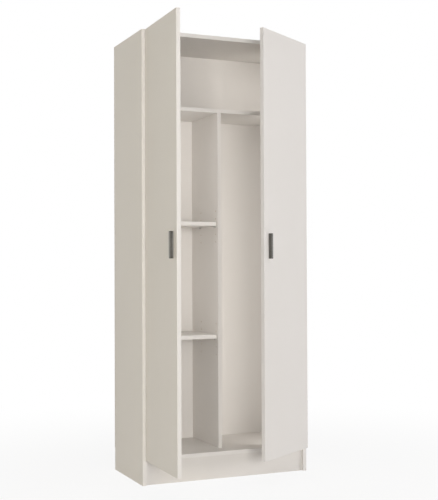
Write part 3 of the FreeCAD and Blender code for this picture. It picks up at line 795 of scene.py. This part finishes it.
def placeModel(model, material, sets):
    # copies a model to every solid of each CAD node in the sets, and joins each node's copies in one piece
    for name, node, *ways in sets:
        copies = []
        for spot in findSpots(node, *ways):
            copy = model.copy()
            copy.data = model.data.copy()
            copy.data.transform(spot)
            bpy.context.scene.collection.objects.link(copy)
            copies.append(copy)
        deselectAll()
        for copy in copies:
            copy.select_set(True)
        bpy.context.view_layer.objects.active = copies[0]
        bpy.ops.object.join()
        standFor(bpy.context.object, name, node, material)
    bpy.data.objects.remove(model)


def bothSides(label, ending, outward):
    return [(side + label, side + "_" + ending, outward[side]) for side in ("left", "right")]


left, right = Vector((-1, 0, 0)), Vector((1, 0, 0))
up, down = Vector((0, 0, 1)), Vector((0, 0, -1))
rear = Vector((0, 1, 0))
inward = {"left": right, "right": left}
doorInward = {side: Matrix.Rotation(turn, 3, "Z") @ rear for side, turn in doorTurns.items()}

# Screws, in millimetres: a low round head with a cross recess and a wound thread
headShares = ((0, 0), (0.45, 0.02), (0.78, 0.2), (0.95, 0.5), (1, 0.85), (1, 1))    # of radius and height
crossShares = {"length": 1.15, "width": 0.26, "depth": 0.72, "taper": 0.6, "tick": 0.9, "tickWidth": 0.07,
               "tickDepth": 0.22}
screwKinds = {
    "cupScrew": {"head": 3.4, "headHeight": 1.6, "shank": 1.6, "length": 13, "pitch": 1.3, "tip": 2.5},
    "plateScrew": {"head": 4.0, "headHeight": 2.0, "shank": 2.2, "length": 12, "pitch": 1.6, "tip": 1.5},
    "armScrew": {"head": 3.6, "headHeight": 2.2, "shank": 2.0, "length": 12, "pitch": 1.0, "tip": 0.5},
    "handleScrew": {"head": 4.0, "headHeight": 2.4, "shank": 2.0, "length": 24, "pitch": 1.0, "tip": 0.5},
    "bracketScrew": {"head": 3.5, "headHeight": 1.8, "shank": 1.75, "length": 13, "pitch": 1.4, "tip": 3.0},
}
screwThread = 0.35
screwTipShare = 0.25
screwSteps = 24


def cutCross(piece, head, headHeight):
    for turn in (0, 90):
        cutBar(piece, 0, crossShares["length"] * head, crossShares["width"] * head,
               crossShares["depth"] * headHeight, turn, crossShares["taper"])
    for turn in (45, 135):
        cutBar(piece, 0, crossShares["tick"] * head, crossShares["tickWidth"] * head,
               crossShares["tickDepth"] * headHeight, turn, 1)


def makeScrew(name, kind):
    head, headHeight, core = kind["head"], kind["headHeight"], kind["shank"] - screwThread
    foot = -headHeight - kind["length"]
    outline = [(share * head, -drop * headHeight) for share, drop in headShares]
    outline += [(core, -headHeight), (core, foot + kind["tip"]), (screwTipShare * core, foot), (0, foot)]
    screw = turnOutline(name, outline, screwSteps)
    cutCross(screw, head, headHeight)
    turns = int((kind["length"] - kind["tip"]) / kind["pitch"]) - 1
    windThread(screw, kind["shank"], screwThread, kind["pitch"], -headHeight - kind["pitch"], turns)
    return screw


screwSets = {
    "cupScrew": bothSides("CupScrews", "hinge_cup_screws", doorInward),
    "plateScrew": bothSides("PlateScrews", "hinge_plate_screws", inward),
    "armScrew": bothSides("ArmScrews", "hinge_arm_screws", inward),
    "handleScrew": bothSides("HandleScrews", "handle_screws", doorInward),
    "bracketScrew": [("bracketScrews", "wall_bracket_screws", down)],
}
for kind, sets in screwSets.items():
    placeModel(makeScrew(kind, screwKinds[kind]), metals["screwZinc"], sets)
print("screws made:", len(screwSets), "kinds")

# Long board screws into both ends of the divider: flush head, six-sided socket
boardScrew = {"head": 5.0, "headHeight": 4.0, "shank": 3.5, "shankLength": 12.0, "bevel": 0.4,
              "core": 1.9, "thread": 2.5, "threadLength": 34.0, "pitch": 3.0, "tip": 2.0,
              "socket": 2.3, "socketDepth": 2.8}


def makeBoardScrew(values):
    neck = -values["headHeight"] - values["shankLength"]
    foot = neck - values["threadLength"]
    screw = turnOutline("boardScrew", [
        (0, 0), (values["head"] - values["bevel"], 0), (values["head"], -values["bevel"]),
        (values["head"], -values["headHeight"] / 2), (values["shank"], -values["headHeight"]),
        (values["shank"], neck), (values["core"], neck - values["bevel"]),
        (values["core"], foot + values["tip"]), (values["core"] / 2, foot), (0, foot)], screwSteps)
    deselectAll()
    bpy.ops.mesh.primitive_cylinder_add(vertices=6, radius=values["socket"] * millimetre,
                                        depth=2 * values["socketDepth"] * millimetre)
    cutAway(screw, bpy.context.object)
    turns = int((values["threadLength"] - values["tip"]) / values["pitch"]) - 1
    windThread(screw, values["thread"], values["thread"] - values["core"], values["pitch"],
               neck - values["pitch"], turns)
    return screw


dividerMiddle = findBox("divider")[0]


def towardsNearEnd(middle):
    return up if middle.z > dividerMiddle.z else down


placeModel(makeBoardScrew(boardScrew), metals["screwZinc"],
           [("dividerScrews", "divider_screws", towardsNearEnd)])

# Cam locks: a turned disc with a raised rim, a cross slot, an arrow and the channel for the bolt's head
camShape = {"radius": 7.45, "depth": 12.5, "rim": 0.9, "rimDrop": 0.35, "bevel": 0.3, "steps": 40,
            "slot": 9.0, "slotWidth": 1.7, "slotDepth": 2.6, "slotTaper": 0.8,
            "arrow": 1.3, "arrowAt": 5.2, "arrowDepth": 0.9, "arrowTurn": 45,
            "channel": 3.5, "channelAt": 8.0, "channelSteps": 20}


def makeCam(values):
    radius, bevel, drop = values["radius"], values["bevel"], values["rimDrop"]
    inner, foot = radius - values["rim"], -values["depth"]
    cam = turnOutline("camLock", [
        (0, -drop), (inner - drop, -drop), (inner, 0), (radius - bevel, 0), (radius, -bevel),
        (radius, foot + bevel), (radius - bevel, foot), (0, foot)], values["steps"])
    for turn in (0, 90):
        cutBar(cam, -drop, values["slot"], values["slotWidth"], values["slotDepth"], turn,
               values["slotTaper"])
    deselectAll()
    bpy.ops.mesh.primitive_cylinder_add(vertices=3, radius=values["arrow"] * millimetre,
                                        depth=2 * values["arrowDepth"] * millimetre,
                                        location=(values["arrowAt"] * millimetre, 0, 0))
    arrow = bpy.context.object
    bpy.ops.object.transform_apply(location=True, rotation=True, scale=True)
    arrow.data.transform(Matrix.Rotation(math.radians(values["arrowTurn"]), 4, "Z"))
    cutAway(cam, arrow)
    deselectAll()
    place = Vector((radius, 0, -values["channelAt"])) * millimetre
    bpy.ops.mesh.primitive_cylinder_add(vertices=values["channelSteps"],
                                        radius=values["channel"] * millimetre, depth=radius * millimetre,
                                        location=place, rotation=(0, math.radians(90), 0))
    cutAway(cam, bpy.context.object)
    return cam


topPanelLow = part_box("top_panel")[0].z
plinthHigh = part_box("plinth")[1].z


def camOutward(middle):
    if middle.z > topPanelLow:
        return up
    return rear if middle.z < plinthHigh else down


def towardsSide(middle):
    return right if middle.x > 0 else left


def towardsMiddle(middle):
    return left if middle.x > 0 else right


placeModel(makeCam(camShape), metals["camZinc"], [("camLocks", "cam_locks", camOutward, towardsSide)])

# Cam bolts: a round head on a waist, a collar against the side, and a coarse thread in the side
boltOutline = ((0, 0), (1.8, -0.15), (3.0, -0.8), (3.4, -1.7), (3.0, -2.6), (1.9, -3.2), (1.9, -8.0),
               (2.5, -8.8), (2.5, -22.4), (3.6, -22.7), (3.6, -24.0), (1.95, -24.0), (1.95, -33.5),
               (1.2, -35.0), (0, -35.0))
boltSteps = 20
boltThread = {"radius": 2.5, "depth": 0.5, "pitch": 1.8, "start": -25.2, "turns": 4}
bolt = turnOutline("camBolt", boltOutline, boltSteps)
windThread(bolt, **boltThread)
placeModel(bolt, metals["screwZinc"], [("camBolts", "cam_bolts", towardsMiddle)])

# Dowels: fluted beech with tapered ends
dowelShape = {"radius": 4.0, "endRadius": 3.4, "length": 30.0, "taper": 1.2, "steps": 28, "flute": 0.93}


def makeDowel(values):
    radius, endRadius, flute = values["radius"], values["endRadius"], values["flute"]
    length, taper = values["length"], values["taper"]
    dowel = turnOutline("dowel", [(0, 0), (endRadius, 0), (radius, -taper), (radius, taper - length),
                                  (endRadius, -length), (0, -length)], values["steps"])
    makeActive(dowel)
    for piece in (*dowel.data.polygons, *dowel.data.edges):
        piece.select = False
    for vertex in dowel.data.vertices:
        step = round(math.atan2(vertex.co.y, vertex.co.x) / math.tau * values["steps"])
        vertex.select = step % 2 == 1 and vertex.co.xy.length > (endRadius + radius) / 2 * millimetre
    bpy.ops.object.mode_set(mode="EDIT")
    bpy.ops.transform.resize(value=(flute, flute, 1), center_override=(0, 0, 0))
    bpy.ops.object.mode_set(mode="OBJECT")
    return dowel


placeModel(makeDowel(dowelShape), beech, [("beechDowels", "wood_dowels", towardsMiddle)])

# Nails: a thin domed head and a pointed shank, few faces because there are many
nailOutline = ((0, 0), (1.3, -0.08), (2.0, -0.35), (2.0, -0.6), (0.7, -0.6), (0.7, -19.0), (0, -20.6))
nailSteps = 10
placeModel(turnOutline("nail", nailOutline, nailSteps), metals["nailSteel"],
           [("backNails", "back_panel_nails", rear)])

# Shelf supports: a pin in the hole, a collar against the board, and a stud with a flat for the shelf
supportOutline = ((0, 0), (2.6, 0), (3.0, -0.4), (3.0, -6.9), (3.3, -7.2), (3.6, -7.35), (3.6, -8.0),
                  (2.5, -8.0), (2.5, -15.3), (2.1, -16.0), (0, -16.0))
supportSteps = 28
supportFlat = {"height": 2.5, "length": 8.0, "width": 8.0, "deep": 2.0, "overrun": 0.1}


def makeSupport(outline, flat):
    support = turnOutline("shelfSupport", outline, supportSteps)
    deselectAll()
    size = Vector((flat["deep"], flat["width"], flat["length"] + flat["overrun"]))
    middle = Vector((flat["height"] + flat["deep"] / 2, 0, (flat["overrun"] - flat["length"]) / 2))
    bpy.ops.mesh.primitive_cube_add(size=1, location=middle * millimetre, scale=size * millimetre)
    cutAway(support, bpy.context.object)
    return support


shelfMiddle = findBox("lower_loose_shelf")[0]


def intoTheBay(middle):
    return left if middle.x > shelfMiddle.x else right


placeModel(makeSupport(supportOutline, supportFlat), metals["supportNickel"], [
    (level + "ShelfSupports", level + "_shelf_supports", intoTheBay, up) for level in ("lower", "upper")])
print("fasteners made")


# Pressed and moulded metal: the CAD shape with its sharp edges rounded over
def softenNode(name, node, material, width):
    deselectAll()
    piece = bpy.data.objects.new(name, frame["nodes"][node].data.copy())
    bpy.context.scene.collection.objects.link(piece)
    makeActive(piece)
    bpy.ops.object.mode_set(mode="EDIT")
    bpy.ops.mesh.select_all(action="SELECT")
    bpy.ops.mesh.remove_doubles(threshold=meshValues["weld"])
    bpy.ops.mesh.dissolve_limited(angle_limit=math.radians(meshValues["flatAngle"]))
    bpy.ops.object.mode_set(mode="OBJECT")
    applyModifier(piece, "BEVEL", width=width * millimetre, segments=meshValues["roundSegments"],
                  limit_method="ANGLE", angle_limit=math.radians(meshValues["roundAngle"]))
    finishMesh(piece)
    standFor(piece, name, node, material)


bracketRound = 0.4
softened = {
    "hinge_arms": ("HingeArms", "hingeNickel", 0.3),
    "hinge_plates": ("HingePlates", "hingeNickel", 0.3),
    "hinge_cups": ("HingeCups", "hingeNickel", 0.2),
    "hinge_links": ("HingeLinks", "hingeNickel", 0.25),
    "hinge_arm_pins": ("HingeArmPins", "pinSteel", 0.2),
    "hinge_cup_pins": ("HingeCupPins", "pinSteel", 0.2),
    "handle": ("Handle", "handleMetal", 1.6),
}
for ending, (label, metal, width) in softened.items():
    for side in ("left", "right"):
        softenNode(side + label, side + "_" + ending, metals[metal], width)
softenNode("wallBrackets", "wall_brackets", powderCoat, bracketRound)
print("metal edges softened")
